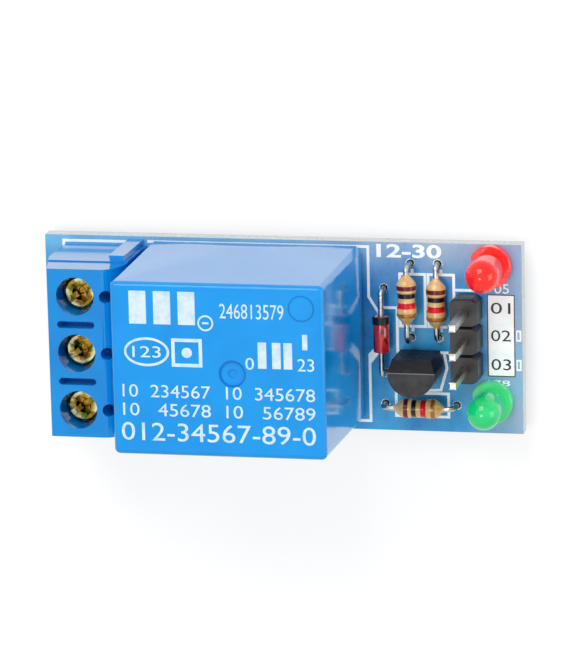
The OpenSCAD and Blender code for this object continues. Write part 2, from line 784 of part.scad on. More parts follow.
// Row of eight-sided segments, one for each pin
module header_body() {
  half = header_pitch / 2;
  wide = header_w / 2;
  lean = 0.35;
  color([0.15, 0.15, 0.16]) difference() {
    for (i = [-1:1]) translate([header_x, header_y + i * header_pitch, z_top]) linear_extrude(header_h)
      polygon([
        [-wide, -half + lean], [-wide + header_notch, -half], [wide - header_notch, -half], [wide, -half + lean],
        [wide, half - lean], [wide - header_notch, half], [-wide + header_notch, half], [-wide, half - lean]
      ]);
    for (site = header_sites) lead(site, z_top - cut, z_top + header_h + cut);
  }
}

// Square pins with bevelled upper ends
module header_pins() {
  bevel = 0.15;
  color("gainsboro") for (site = header_sites) {
    lead(site, 0, z_top + header_pin_h - bevel);
    translate([site[0], site[1], z_top + header_pin_h - bevel]) intersection() {
      translate([-header_pin / 2, -header_pin / 2, 0]) cube([header_pin, header_pin, bevel]);
      rotate(45) cylinder(d1 = (header_pin + 0.01) * sqrt(2), d2 = (header_pin - 2 * bevel) * sqrt(2), h = bevel, $fn = 4);
    }
  }
}

// ---------- Wired parts ----------

// Frame of a part that lies between two holes, with its own axis along Z
module lying(x, y, z, angle) {
  translate([x, y, z_top + z]) rotate(angle) rotate([0, 90, 0]) children();
}

// One wire: out of the body, round a bend and down through the board
module bent_wire(x, y, z, angle, pitch, start) {
  arc = bend_r + wire_d / 2;
  run = pitch / 2 - arc;
  translate([x, y, z_top + z]) rotate(angle) {
    translate([start, 0, 0]) rotate([0, 90, 0]) cylinder(d = wire_d, h = run - start);
    translate([run, 0, -arc]) rotate([90, 0, 0]) rotate_extrude(angle = 90) translate([arc, 0]) circle(d = wire_d);
    translate([pitch / 2, 0, -z_top - z]) cylinder(d = wire_d, h = z_top + z - arc);
  }
}

module wire_pair(x, y, z, angle, pitch, start) {
  color("gainsboro") for (turn = [0, 180]) bent_wire(x, y, z, angle + turn, pitch, start);
}

// Lacquered body: two bulbs, a waist, and a cone of lacquer along each wire
bulb_in = 0.98;
bulb_out = 1.42;
waist_out = 0.76;

function half_profile(side) = [
  for (t = [0:15:90]) // cone along the wire
    [res_d / 2 - 0.25 - (res_d / 2 - 0.25 - wire_d / 2) * sin(t),
     side * (res_l / 2 + res_cone * (1 - cos(t)))]
];

module resistor_body(x, y, z, angle) {
  top = half_profile(1);
  bottom = half_profile(-1);
  shoulder = [for (t = [0:18:90]) [res_d / 2 - 0.25 * (1 - cos(t)), bulb_out + (res_l / 2 - bulb_out) * sin(t)]];
  neck = [
    for (t = [0:30:180])
      [res_waist / 2 + (res_d - res_waist) / 4 * (1 - cos(t)), waist_out + (bulb_in - waist_out) * t / 180]
  ];
  outer = concat(
    [for (i = [len(bottom) - 1:-1:1]) bottom[i]],
    [for (i = [len(shoulder) - 1:-1:0]) [shoulder[i][0], -shoulder[i][1]]],
    [for (i = [len(neck) - 1:-1:0]) [neck[i][0], -neck[i][1]]],
    neck, shoulder, [for (i = [1:len(top) - 1]) top[i]]
  );
  end = res_l / 2 + res_cone;
  color("burlywood") lying(x, y, z, angle) rotate_extrude() polygon(concat([[0, -end]], outer, [[0, end]]));
}

// Painted ring around a part, from one place along its axis to another
module painted_ring(x, y, z, angle, d, from, to) {
  lying(x, y, z, angle) translate([0, 0, from]) difference() {
    cylinder(d = d + 2 * band_t, h = to - from);
    translate([0, 0, -cut]) cylinder(d = d, h = to - from + 2 * cut);
  }
}

module resistor_rings(d, from, to) {
  painted_ring(res1_x, res_pair_y, res1_z, 90, d, -to, -from);
  painted_ring(res2_x, res_pair_y, res2_z, 90, d, -to, -from);
  painted_ring(res3_x, res3_y, res3_z, 0, d, from, to);
}

res_end = res_l / 2 + res_cone;

module resistor_1() { resistor_body(res1_x, res_pair_y, res1_z, 90); }
module resistor_2() { resistor_body(res2_x, res_pair_y, res2_z, 90); }
module resistor_3() { resistor_body(res3_x, res3_y, res3_z, 0); }
module resistor_1_wires() { wire_pair(res1_x, res_pair_y, res1_z, 90, res_pitch, res_end); }
module resistor_2_wires() { wire_pair(res2_x, res_pair_y, res2_z, 90, res_pitch, res_end); }
module resistor_3_wires() { wire_pair(res3_x, res3_y, res3_z, 0, res3_pitch, res_end); }
module bands_brown() { color("saddlebrown") resistor_rings(res_d, -bulb_out, -bulb_in - 0.04); }
module bands_black() { color("black") resistor_rings(res_waist, -0.72, -0.3); }
module bands_red() { color("firebrick") resistor_rings(res_waist, 0.1, 0.62); }
module bands_gold() { color("goldenrod") resistor_rings(res_d, bulb_in + 0.04, bulb_out); }

// ---------- Diode ----------

chip_t = 0.3;
slug_l = diode_l / 2 - chip_t / 2 - 0.35;
edge_r = 0.3;

// Glass bead with rounded ends, sealed around the slugs and hollow around the chip
module diode_glass() {
  half = diode_l / 2;
  r = diode_d / 2;
  corner = [for (t = [0:15:90]) [r - edge_r * (1 - cos(t)), half - edge_r * (1 - sin(t))]];
  color("orangered") lying(diode_x, diode_y, diode_z, 90) difference() {
    rotate_extrude() polygon(concat(
      [[0, -half]], [for (i = [len(corner) - 1:-1:0]) [corner[i][0], -corner[i][1]]], corner, [[0, half]]
    ));
    translate([0, 0, -half - cut]) cylinder(d = wire_d, h = diode_l + 2 * cut);
    translate([0, 0, -slug_l - chip_t / 2]) cylinder(d = slug_d, h = 2 * slug_l + chip_t);
  }
}

module diode_wires() {
  wire_pair(diode_x, diode_y, diode_z, 90, diode_pitch, chip_t / 2 + slug_l);
  color("gray") for (side = [0, 180])
    translate([diode_x, diode_y, z_top + diode_z]) rotate(90 + side) rotate([0, 90, 0])
      translate([0, 0, chip_t / 2]) cylinder(d = slug_d, h = slug_l);
}

module diode_chip() {
  color("dimgray") lying(diode_x, diode_y, diode_z, 90) cube([0.5, 0.5, chip_t], center = true);
}

module diode_band() {
  color("black") painted_ring(diode_x, diode_y, diode_z, 90, diode_d, diode_l / 2 - 0.75, diode_l / 2 - 0.32);
}

// ---------- Transistor ----------

module transistor_body() {
  r = to92_w / 2;
  color([0.16, 0.16, 0.17]) translate([to92_x, to92_y - (to92_d - r), z_top + to92_lift])
    linear_extrude(to92_h) intersection() {
      circle(r = r);
      translate([-r, -r]) square([2 * r, r + to92_d - r]);
    }
}

module transistor_legs() {
  color("silver") for (site = leg_sites) lead(site, 0, z_top + to92_lift);
}

// ---------- Indicator lights ----------

// Leg that bends inwards to an upright block inside the lens
module light_leg_form(side, width, height) {
  inner = 0.12;
  step = 1.3;
  reach = light_pitch / 2 + light_leg / 2;
  mirror([side < 0 ? 1 : 0, 0, 0]) translate([0, light_leg / 2, 0]) rotate([90, 0, 0]) linear_extrude(light_leg)
    polygon([
      [reach, -z_top], [reach, step + light_leg], [inner + width, step + light_leg], [inner + width, height],
      [inner, height], [inner, step], [reach - light_leg, step], [reach - light_leg, -z_top]
    ]);
}

// Legs of a light: a wide cup for the die on one, a narrow post on the other
module light_frame(y) {
  translate([light_x, y, z_top]) {
    light_leg_form(-1, 1.0, 3.0);
    light_leg_form(1, 0.6, 2.8);
  }
}

// Domed lens with a flange that is flat on one side
module light_lens(y) {
  r = lens_d / 2;
  dome = [for (t = [0:10:90]) [r * cos(t), lens_h - r + r * sin(t)]];
  difference() {
    translate([light_x, y, z_top]) difference() {
      rotate_extrude() polygon(concat([[0, 0], [rim_d / 2, 0], [rim_d / 2, rim_h], [r, rim_h]], dome));
      translate([r + 0.1, -rim_d, -cut]) cube([rim_d, 2 * rim_d, rim_h + 2 * cut]);
    }
    light_frame(y);
  }
}

module red_lens() { color("red") light_lens(red_y); }
module green_lens() { color("limegreen") light_lens(green_y); }
module red_frame() { color("silver") union() { light_frame(red_y); } }
module green_frame() { color("silver") union() { light_frame(green_y); } }

board();
plated_holes();
printed_ink();
solder_joints();
terminal_housing();
clamp_frames();
clamp_screw_1();
clamp_screw_2();
clamp_screw_3();
wire_guard_1();
wire_guard_2();
wire_guard_3();
relay_cover();
relay_base();
relay_bobbin();
relay_winding();
relay_core();
relay_yoke();
relay_armature();
relay_spring_arm();
relay_moving_contact();
relay_fixed_contacts();
relay_open_blade();
relay_closed_blade();
relay_common_blade();
relay_coil_pins();
relay_spring_anchor();
header_body();
header_pins();
resistor_1();
resistor_2();
resistor_3();
resistor_1_wires();
resistor_2_wires();
resistor_3_wires();
bands_brown();
bands_black();
bands_red();
bands_gold();
diode_glass();
diode_wires();
diode_chip();
diode_band();
transistor_body();
transistor_legs();
red_lens();
red_frame();
green_lens();
green_frame();
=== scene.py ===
"""Looks of the single channel relay module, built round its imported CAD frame."""

import math

import bmesh
import bpy
from mathutils import Matrix, Vector


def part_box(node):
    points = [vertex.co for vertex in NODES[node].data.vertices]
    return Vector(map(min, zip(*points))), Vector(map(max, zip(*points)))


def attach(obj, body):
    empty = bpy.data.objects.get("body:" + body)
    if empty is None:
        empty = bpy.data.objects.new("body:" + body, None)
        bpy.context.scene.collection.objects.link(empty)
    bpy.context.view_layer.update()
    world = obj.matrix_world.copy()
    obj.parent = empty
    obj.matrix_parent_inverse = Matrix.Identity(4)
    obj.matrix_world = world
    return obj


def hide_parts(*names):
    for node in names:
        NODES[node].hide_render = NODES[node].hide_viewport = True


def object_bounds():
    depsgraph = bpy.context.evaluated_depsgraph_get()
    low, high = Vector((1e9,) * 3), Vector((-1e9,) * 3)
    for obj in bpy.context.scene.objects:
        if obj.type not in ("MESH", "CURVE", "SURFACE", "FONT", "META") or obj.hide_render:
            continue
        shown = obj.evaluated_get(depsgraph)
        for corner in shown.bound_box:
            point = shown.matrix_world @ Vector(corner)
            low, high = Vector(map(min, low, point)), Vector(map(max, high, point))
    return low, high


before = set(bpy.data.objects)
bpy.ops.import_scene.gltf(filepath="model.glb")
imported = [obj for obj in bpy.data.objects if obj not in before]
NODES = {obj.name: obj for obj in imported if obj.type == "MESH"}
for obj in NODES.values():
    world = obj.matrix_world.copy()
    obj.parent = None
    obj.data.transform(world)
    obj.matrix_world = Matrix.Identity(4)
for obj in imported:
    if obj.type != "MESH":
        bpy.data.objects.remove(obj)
ROOT = "base_unit"
MM = 0.001
cad_low, cad_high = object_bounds()


# ---------- Camera, lamps and floor ----------

CAMERA_AT = (0.08850, 0.09345, 0.39470)
CAMERA_RIGHT = (0.97633, -0.02286, -0.21507)
CAMERA_DOWN = (0.02737, -0.97334, 0.22771)
FOCAL_PX = 4654.3
IMAGE_PX = (568, 649)
CENTRE_PX = (283.5, 340.3)
SENSOR_MM = 36.0


def make_camera():
    """Camera at the photograph's place, with the shift that its framing needs."""
    right = Vector(CAMERA_RIGHT).normalized()
    up = -Vector(CAMERA_DOWN).normalized()
    back = right.cross(up).normalized()
    up = back.cross(right)
    data = bpy.data.cameras.new("camera")
    data.sensor_fit = "AUTO"
    data.sensor_width = SENSOR_MM
    data.lens = FOCAL_PX * SENSOR_MM / max(IMAGE_PX)
    data.shift_x = (IMAGE_PX[0] / 2 - CENTRE_PX[0]) / max(IMAGE_PX)
    data.shift_y = (CENTRE_PX[1] - IMAGE_PX[1] / 2) / max(IMAGE_PX)
    data.clip_start, data.clip_end = 0.01, 20
    camera = bpy.data.objects.new("camera", data)
    turn = Matrix((right, up, back)).transposed().to_4x4()
    camera.matrix_world = Matrix.Translation(CAMERA_AT) @ turn
    bpy.context.scene.collection.objects.link(camera)
    bpy.context.scene.camera = camera


def soft_lamp(name, place, size, level):
    """Square area lamp aimed at the board. level is the brightness it gives a white face turned to it."""
    aim = (cad_low + cad_high) / 2
    to_lamp = Vector(place) - aim
    data = bpy.data.lights.new(name, "AREA")
    data.size = size
    data.energy = level * math.pi ** 2 * to_lamp.length_squared
    lamp = bpy.data.objects.new(name, data)
    lamp.matrix_world = Matrix.Translation(place) @ to_lamp.to_track_quat("Z", "Y").to_matrix().to_4x4()
    lamp.visible_camera = False
    bpy.context.scene.collection.objects.link(lamp)


def make_world(ambient):
    """Soft ambient light, and plain white wherever the world itself is seen or mirrored."""
    world = bpy.data.worlds.new("studio")
    world.use_nodes = True
    bpy.context.scene.world = world
    tree = world.node_tree
    seen = seen_ray(tree)
    mix = tree.nodes.new("ShaderNodeMix")
    mix.data_type = "FLOAT"
    mix.inputs[2].default_value = ambient
    mix.inputs[3].default_value = 1.0
    tree.links.new(seen, mix.inputs[0])
    back = tree.nodes["Background"]
    back.inputs["Color"].default_value = (1, 1, 1, 1)
    tree.links.new(mix.outputs[0], back.inputs["Strength"])


def seen_ray(tree):
    """1 for rays that look straight at a surface or see it in a mirror or through glass."""
    path = tree.nodes.new("ShaderNodeLightPath")
    total = path.outputs["Is Camera Ray"]
    for name in ("Is Glossy Ray", "Is Transmission Ray"):
        add = tree.nodes.new("ShaderNodeMath")
        add.operation = "MAXIMUM"
        tree.links.new(total, add.inputs[0])
        tree.links.new(path.outputs[name], add.inputs[1])
        total = add.outputs[0]
    return total


def make_floor(albedo, lift):
    """Pale floor that keeps the shadow. lift is added where it is seen, to make it as white as the world."""
    reach, gap = 3.0, 0.00002
    mesh = bpy.data.meshes.new("floor")
    corners = [(-reach, -reach, 0), (reach, -reach, 0), (reach, reach, 0), (-reach, reach, 0)]
    mesh.from_pydata(corners, [], [(0, 1, 2, 3)])
    floor = bpy.data.objects.new("floor", mesh)
    floor.location.z = cad_low.z - gap
    bpy.context.scene.collection.objects.link(floor)
    mat = bpy.data.materials.new("floor_paper")
    mat.use_nodes = True
    tree = mat.node_tree
    tree.nodes.clear()
    diffuse = tree.nodes.new("ShaderNodeBsdfDiffuse")
    diffuse.inputs["Color"].default_value = (albedo, albedo, albedo, 1)
    glow = tree.nodes.new("ShaderNodeEmission")
    times = tree.nodes.new("ShaderNodeMath")
    times.operation = "MULTIPLY"
    times.inputs[1].default_value = lift
    tree.links.new(seen_ray(tree), times.inputs[0])
    tree.links.new(times.outputs[0], glow.inputs["Strength"])
    both = tree.nodes.new("ShaderNodeAddShader")
    tree.links.new(diffuse.outputs[0], both.inputs[0])
    tree.links.new(glow.outputs[0], both.inputs[1])
    clear = tree.nodes.new("ShaderNodeBsdfTransparent")
    side = tree.nodes.new("ShaderNodeNewGeometry")
    pick = tree.nodes.new("ShaderNodeMixShader")
    tree.links.new(side.outputs["Backfacing"], pick.inputs[0])
    tree.links.new(both.outputs[0], pick.inputs[1])
    tree.links.new(clear.outputs[0], pick.inputs[2])
    out = tree.nodes.new("ShaderNodeOutputMaterial")
    tree.links.new(pick.outputs[0], out.inputs["Surface"])
    mesh.materials.append(mat)


# ---------- Shader helpers ----------

def srgb(red, green, blue):
    """Linear colour of an 8-bit sRGB one."""
    def linear(value):
        value /= 255
        return value / 12.92 if value <= 0.04045 else ((value + 0.055) / 1.055) ** 2.4
    return (linear(red), linear(green), linear(blue), 1.0)


class Shader:
    """A material under construction: one Principled BSDF and short calls for the nodes that feed it."""

    def __init__(self, name, **sockets):
        self.material = bpy.data.materials.new(name)
        self.material.use_nodes = True
        self.tree = self.material.node_tree
        self.bsdf = self.tree.nodes["Principled BSDF"]
        self.place = self.tree.nodes.new("ShaderNodeTexCoord").outputs["Object"]
        for key, value in sockets.items():
            self.bsdf.inputs[key.replace("_", " ").title().replace("Ior", "IOR")].default_value = value

    def node(self, kind, inputs=(), **props):
        made = self.tree.nodes.new(kind)
        for key, value in props.items():
            setattr(made, key, value)
        for key, value in dict(inputs).items():
            if isinstance(value, bpy.types.NodeSocket):
                self.tree.links.new(value, made.inputs[key])
            else:
                made.inputs[key].default_value = value
        return made

    def noise(self, size, detail=3.0, distortion=0.0, place=None):
        """Noise whose largest lumps are about size metres across."""
        made = self.node("ShaderNodeTexNoise", {
            "Vector": place or self.place, "Scale": 1 / size, "Detail": detail,
            "Roughness": 0.55, "Distortion": distortion})
        return made.outputs["Fac"]

    def stretched(self, x=1.0, y=1.0, z=1.0):
        """Coordinates scaled along each axis, for brushed or drawn metal."""
        return self.node("ShaderNodeMapping", {"Vector": self.place, "Scale": (x, y, z)}).outputs[0]

    def ramp(self, value, *stops):
        """Colour ramp from (position, colour) stops."""
        made = self.node("ShaderNodeValToRGB", {"Fac": value})
        while len(made.color_ramp.elements) < len(stops):
            made.color_ramp.elements.new(1.0)
        for element, (at, colour) in zip(made.color_ramp.elements, stops):
            element.position = at
            element.color = colour
        return made.outputs["Color"]

    def scale(self, value, low, high, from_low=0.3, from_high=0.7):
        """Value mapped from a texture's usual range to low..high."""
        made = self.node("ShaderNodeMapRange", {
            "Value": value, "From Min": from_low, "From Max": from_high, "To Min": low, "To Max": high})
        return made.outputs[0]

    def mix(self, factor, first, second):
        made = self.node("ShaderNodeMix", data_type="RGBA")
        for index, value in ((0, factor), (6, first), (7, second)):
            if isinstance(value, bpy.types.NodeSocket):
                self.tree.links.new(value, made.inputs[index])
            else:
                made.inputs[index].default_value = value
        return made.outputs[2]

    def math(self, operation, first, second=0.0):
        return self.node("ShaderNodeMath", {0: first, 1: second}, operation=operation).outputs[0]

    def axis(self, name):
        """One coordinate of the place on the object, in metres."""
        return self.node("ShaderNodeSeparateXYZ", {"Vector": self.place}).outputs[name]

    def facing(self, name):
        """One component of the surface's own direction."""
        normal = self.node("ShaderNodeTexCoord").outputs["Normal"]
        return self.node("ShaderNodeSeparateXYZ", {"Vector": normal}).outputs[name]

    def colour(self, value):
        self.tree.links.new(value, self.bsdf.inputs["Base Color"])
        return self

    def glow(self, value, strength):
        """Faint light of the surface's own, in the colour given."""
        self.tree.links.new(value, self.bsdf.inputs["Emission Color"])
        self.bsdf.inputs["Emission Strength"].default_value = strength
        return self

    def rough(self, value):
        self.tree.links.new(value, self.bsdf.inputs["Roughness"])
        return self

    def bump(self, height, depth):
        """Bump of that depth in metres."""
        made = self.node("ShaderNodeBump", {"Height": height, "Distance": depth, "Strength": 1.0})
        self.tree.links.new(made.outputs[0], self.bsdf.inputs["Normal"])
        return self

    def done(self):
        return self.material


def paint(material, *nodes):
    """Gives CAD nodes a material."""
    for name in nodes:
        mesh = NODES[name].data
        mesh.materials.clear()
        mesh.materials.append(material)


# ---------- Materials ----------

def solder_mask():
    """Blue mask over faint fibres, with a painted reflection of a lamp that makes it paler towards the +X and
    +Y edges; bare fibreglass on the cut edges.
    """
    s = Shader("solder_mask_blue", ior=1.5, specular_ior_level=0.3)
    cloud = s.noise(0.007, detail=4)
    mask = s.ramp(cloud, (0.3, srgb(8, 102, 176)), (0.5, srgb(22, 138, 210)), (0.72, srgb(60, 178, 230)))
    fibres = s.noise(0.0007, detail=4, place=s.stretched(1.0, 0.25, 1.0))
    mask = s.mix(s.scale(fibres, 0.0, 0.2), mask, srgb(96, 176, 222))
    wavy = s.scale(s.noise(0.004), -0.0012, 0.0012)
    # Painted reflection: near the +X and +Y edges the mask is mixed towards a pale glare colour, cyan at -X
    # and grey at +X.
    end = s.scale(s.math("ADD", s.axis("X"), wavy), 0.0, 0.62, 0.0165, 0.0218)
    side = s.scale(s.math("ADD", s.axis("Y"), wavy), 0.0, 0.7, 0.0042, 0.0088)
    painted_glare = s.mix(s.scale(s.axis("X"), 0.0, 1.0, -0.020, 0.016), srgb(140, 212, 244), srgb(186, 192, 206))
    mask = s.mix(s.math("MAXIMUM", end, side), mask, painted_glare)
    grain = s.noise(0.0006, detail=5, place=s.stretched(0.2, 0.2, 3))
    glass = s.ramp(grain, (0.3, srgb(206, 216, 216)), (0.7, srgb(238, 242, 242)))
    face = s.math("GREATER_THAN", s.math("ABSOLUTE", s.facing("Z")), 0.5)
    s.colour(s.mix(face, glass, mask))
    s.rough(s.scale(s.noise(0.0012), 0.22, 0.34))
    s.bump(s.math("ADD", fibres, s.noise(0.0025)), 0.000012)
    return s.done()


def tinned_copper():
    s = Shader("tinned_copper", metallic=1.0)
    s.colour(s.ramp(s.noise(0.0006), (0.3, srgb(176, 178, 178)), (0.7, srgb(216, 217, 214))))
    s.rough(s.scale(s.noise(0.0004), 0.22, 0.45))
    return s.bump(s.noise(0.0003), 0.00001).done()


def white_ink():
    s = Shader("white_ink", ior=1.45)
    shade = s.ramp(s.noise(0.0009, detail=4), (0.28, srgb(232, 245, 250)), (0.6, srgb(252, 254, 255)))
    s.colour(shade)
    # Painted light: the ink glows faintly in its own colour, which makes it whiter than the lamps alone light
    # it.
    s.glow(shade, 0.12)
    s.rough(s.scale(s.noise(0.0005), 0.4, 0.6))
    return s.bump(s.noise(0.0002), 0.000006).done()


def pad_print():
    """Thin ink that lets a little of the blue below through."""
    s = Shader("pad_print", ior=1.45, specular_ior_level=0.25)
    s.colour(s.ramp(s.noise(0.0008, detail=4), (0.28, srgb(186, 220, 240)), (0.6, srgb(222, 240, 248))))
    s.rough(s.scale(s.noise(0.0005), 0.4, 0.55))
    return s.bump(s.noise(0.0002), 0.000002).done()


def solder():
    s = Shader("solder", metallic=1.0)
    s.colour(s.ramp(s.noise(0.001), (0.3, srgb(184, 187, 190)), (0.7, srgb(222, 224, 226))))
    s.rough(s.scale(s.noise(0.0007), 0.16, 0.38))
    return s.bump(s.noise(0.0006, detail=4), 0.00003).done()


def moulded(name, dark, light, rough=0.3, shine=0.5, coat=0.0, depth=0.000004):
    """Moulded plastic: cloudiness, fine grain, faint flow marks. coat is a skin that shines at low angles."""
    s = Shader(name, ior=1.5, specular_ior_level=shine, coat_weight=coat, coat_roughness=0.1, coat_ior=1.28)
    s.colour(s.ramp(s.noise(0.004, detail=3), (0.3, dark), (0.7, light)))
    s.rough(s.scale(s.noise(0.0015), rough - 0.04, rough + 0.06))
    grainy = s.noise(0.00012, detail=2)
    flow = s.noise(0.003, detail=2, place=s.stretched(1, 0.4, 1))
    return s.bump(s.math("ADD", grainy, s.math("MULTIPLY", flow, 2.0)), depth).done()


def metal(name, dark, light, rough=(0.2, 0.4), lump=0.0005, depth=0.000008, stretch=(1, 1, 1)):
    """Worn metal: colour and gloss vary, with a fine bump drawn out along one axis."""
    s = Shader(name, metallic=1.0)
    place = s.stretched(*stretch)
    s.colour(s.ramp(s.noise(lump, detail=4, place=place), (0.28, dark), (0.72, light)))
    s.rough(s.scale(s.noise(lump * 1.4, place=place), *rough))
    return s.bump(s.noise(lump * 0.6, detail=4, place=place), depth).done()


def zinc_screw():
    """Yellow passivated zinc: olive and brown in the middle, with a painted highlight of pale silver near the
    head's rim.
    """
    s = Shader("screw_zinc", metallic=1.0)
    low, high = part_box("clamp_screw_2")
    radius = (high.y - low.y) / 2
    pitch = abs(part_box("clamp_screw_1")[0].y - low.y)
    across = s.math("SUBTRACT", s.axis("X"), (low.x + high.x) / 2)
    along = s.math("PINGPONG", s.math("SUBTRACT", s.axis("Y"), (low.y + high.y) / 2), pitch / 2)
    square = s.math("ADD", s.math("MULTIPLY", across, across), s.math("MULTIPLY", along, along))
    # Painted highlight: patches near the rim of each head are mixed to pale silver.
    rim = s.scale(s.math("SQRT", square), 0.0, 1.0, 0.55 * radius, 0.80 * radius)
    rim_glint = s.scale(s.noise(0.0007, detail=2), 0.0, 0.8, 0.44, 0.58)
    patches = s.noise(0.0011, detail=2, distortion=0.4)
    middle = s.ramp(patches, (0.3, srgb(48, 60, 14)), (0.42, srgb(88, 98, 28)),
                    (0.52, srgb(154, 120, 44)), (0.62, srgb(112, 72, 24)), (0.74, srgb(80, 92, 34)))
    s.colour(s.mix(s.math("MULTIPLY", rim, rim_glint), middle, srgb(208, 210, 168)))
    s.rough(s.scale(s.noise(0.0007), 0.18, 0.34))
    return s.bump(s.noise(0.0011, detail=2), 0.00003).done()


def winding_copper():
    """Enamelled wire in fine turns up the coil."""
    s = Shader("winding_copper", metallic=1.0, coat_weight=0.6, coat_roughness=0.1)
    wave = s.node("ShaderNodeTexWave", {"Vector": s.place, "Scale": 1600.0}, bands_direction="Z")
    turns = wave.outputs["Fac"]
    s.colour(s.ramp(turns, (0.0, srgb(110, 42, 18)), (0.8, srgb(206, 104, 52))))
    s.rough(s.scale(s.noise(0.001), 0.25, 0.4))
    return s.bump(turns, 0.00005).done()


def lacquer():
    """Tan resistor lacquer, thick and glossy."""
    s = Shader("resistor_lacquer", coat_weight=0.5, coat_roughness=0.06, ior=1.5, subsurface_weight=0.05)
    s.bsdf.inputs["Subsurface Radius"].default_value = (0.0006, 0.0004, 0.0002)
    s.colour(s.ramp(s.noise(0.0008, detail=3), (0.3, srgb(218, 166, 96)), (0.7, srgb(244, 204, 138))))
    s.rough(s.scale(s.noise(0.0009), 0.22, 0.36))
    return s.bump(s.noise(0.0008), 0.00003).done()


def band_paint(name, dark, light, metallic=0.0):
    s = Shader(name, coat_weight=0.3, coat_roughness=0.07, ior=1.5, specular_ior_level=0.25,
               metallic=metallic)
    s.colour(s.ramp(s.noise(0.0004, detail=4), (0.3, dark), (0.7, light)))
    s.rough(s.scale(s.noise(0.0006), 0.25, 0.4))
    return s.bump(s.noise(0.0005), 0.00002).done()


def tinted_lens(name, deep, bright, rim):
    """Tinted diffused epoxy with painted light: the dome glows by its own emission, and the flange below it
    glows in a paler colour.
    """
    s = Shader(name, ior=1.5, coat_weight=0.4, coat_roughness=0.05, specular_ior_level=0.3,
               subsurface_weight=0.2, transmission_weight=0.22)
    s.bsdf.inputs["Subsurface Radius"].default_value = (0.0012, 0.0012, 0.0012)
    cloud = s.ramp(s.noise(0.0015), (0.3, deep), (0.7, bright))
    low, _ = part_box("red_lens")
    foot = s.scale(s.axis("Z"), 1.0, 0.0, low.z + 0.0009, low.z + 0.0014)
    s.colour(cloud)
    # Painted light: the lens glows in its cloud colour, and in the paler rim colour low down on the flange.
    s.glow(s.mix(foot, cloud, rim), 0.30)
    s.rough(s.scale(s.noise(0.001), 0.08, 0.16))
    return s.bump(s.noise(0.0008), 0.000006).done()


def diode_bead():
    """Red glass with dark patches of the parts sealed in it."""
    s = Shader("diode_glass", ior=1.5, coat_weight=0.8, coat_roughness=0.03, transmission_weight=0.3)
    patches = s.noise(0.0011, detail=1, distortion=0.4)
    s.colour(s.ramp(patches, (0.40, srgb(40, 8, 14)), (0.455, srgb(216, 20, 26)),
                    (0.56, srgb(244, 44, 44)), (0.7, srgb(200, 30, 40))))
    s.rough(s.scale(s.noise(0.0009), 0.05, 0.14))
    return s.bump(s.noise(0.0008), 0.00001).done()


def black_epoxy(parting_y):
    """Moulded transistor body with painted reflections: blacker by its flat face and greyer behind the
    parting line, with a painted highlight as a bright line along the parting line on top.
    """
    s = Shader("transistor_epoxy", ior=1.5, specular_ior_level=0.2)
    grey = s.ramp(s.noise(0.0009, detail=5), (0.3, srgb(44, 43, 44)), (0.7, srgb(66, 65, 65)))
    # Painted reflection: near black from the parting line to the flat face, grey behind it.
    past = s.math("SUBTRACT", s.axis("Y"), parting_y)
    painted_reflection_halves = s.mix(s.scale(past, 0.0, 1.0, 0.0, 0.00004), grey, srgb(5, 5, 7))
    # Painted highlight: a bright line along the parting line on the top face.
    top = s.math("GREATER_THAN", s.facing("Z"), 0.5)
    line = s.math("MULTIPLY", top, s.math("LESS_THAN", s.math("ABSOLUTE", past), 0.00004))
    s.colour(s.mix(line, painted_reflection_halves, srgb(120, 120, 122)))
    s.rough(s.scale(s.noise(0.0004), 0.34, 0.52))
    return s.bump(s.noise(0.00012, detail=5), 0.00001).done()


# ---------- Shapes ----------

def place_piece(name, data, material, replaced):
    """Puts a mesh on the board's body, in the place of the CAD nodes named."""
    data.materials.append(material)
    made = bpy.data.objects.new(name, data)
    bpy.context.scene.collection.objects.link(made)
    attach(made, ROOT)
    if replaced:
        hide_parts(*replaced)


def metres_mesh(name, mesh):
    """Mesh data in metres from a bmesh in millimetres."""
    bmesh.ops.recalc_face_normals(mesh, faces=mesh.faces)
    bmesh.ops.scale(mesh, vec=(MM, MM, MM), verts=mesh.verts)
    data = bpy.data.meshes.new(name)
    mesh.to_mesh(data)
    mesh.free()
    return data


def piece(name, mesh, material, replaced=(), smooth=True):
    """Piece made of a bmesh in millimetres."""
    data = metres_mesh(name, mesh)
    if smooth:
        data.shade_smooth()
        data.set_sharp_from_angle(angle=math.radians(35))
    place_piece(name, data, material, replaced)


def box_mm(node):
    """Corners and middle of a CAD node in millimetres."""
    low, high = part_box(node)
    low, high = low / MM, high / MM
    return low, high, (low + high) / 2


def loft(mesh, levels, caps=True):
    """Skins rings of as many points each, given as (x, y, z)."""
    rings = [[mesh.verts.new(point) for point in ring] for ring in levels]
    count = len(rings[0])
    for first, second in zip(rings, rings[1:]):
        for i in range(count):
            j = (i + 1) % count
            mesh.faces.new((first[i], first[j], second[j], second[i]))
    if caps:
        mesh.faces.new(rings[0])
        mesh.faces.new(rings[-1])


def lathe(mesh, middle, axis, profile, caps=True, sides=48):
    """Turns a profile of (radius, distance along the axis) about a line along X, Y or Z."""
    levels = []
    for radius, along in profile:
        ring = []
        for i in range(sides):
            u, v = radius * math.cos(math.tau * i / sides), radius * math.sin(math.tau * i / sides)
            offset = {"X": (along, u, v), "Y": (v, along, u), "Z": (u, v, along)}[axis]
            ring.append(Vector(middle) + Vector(offset))
        levels.append(ring)
    loft(mesh, levels, caps)


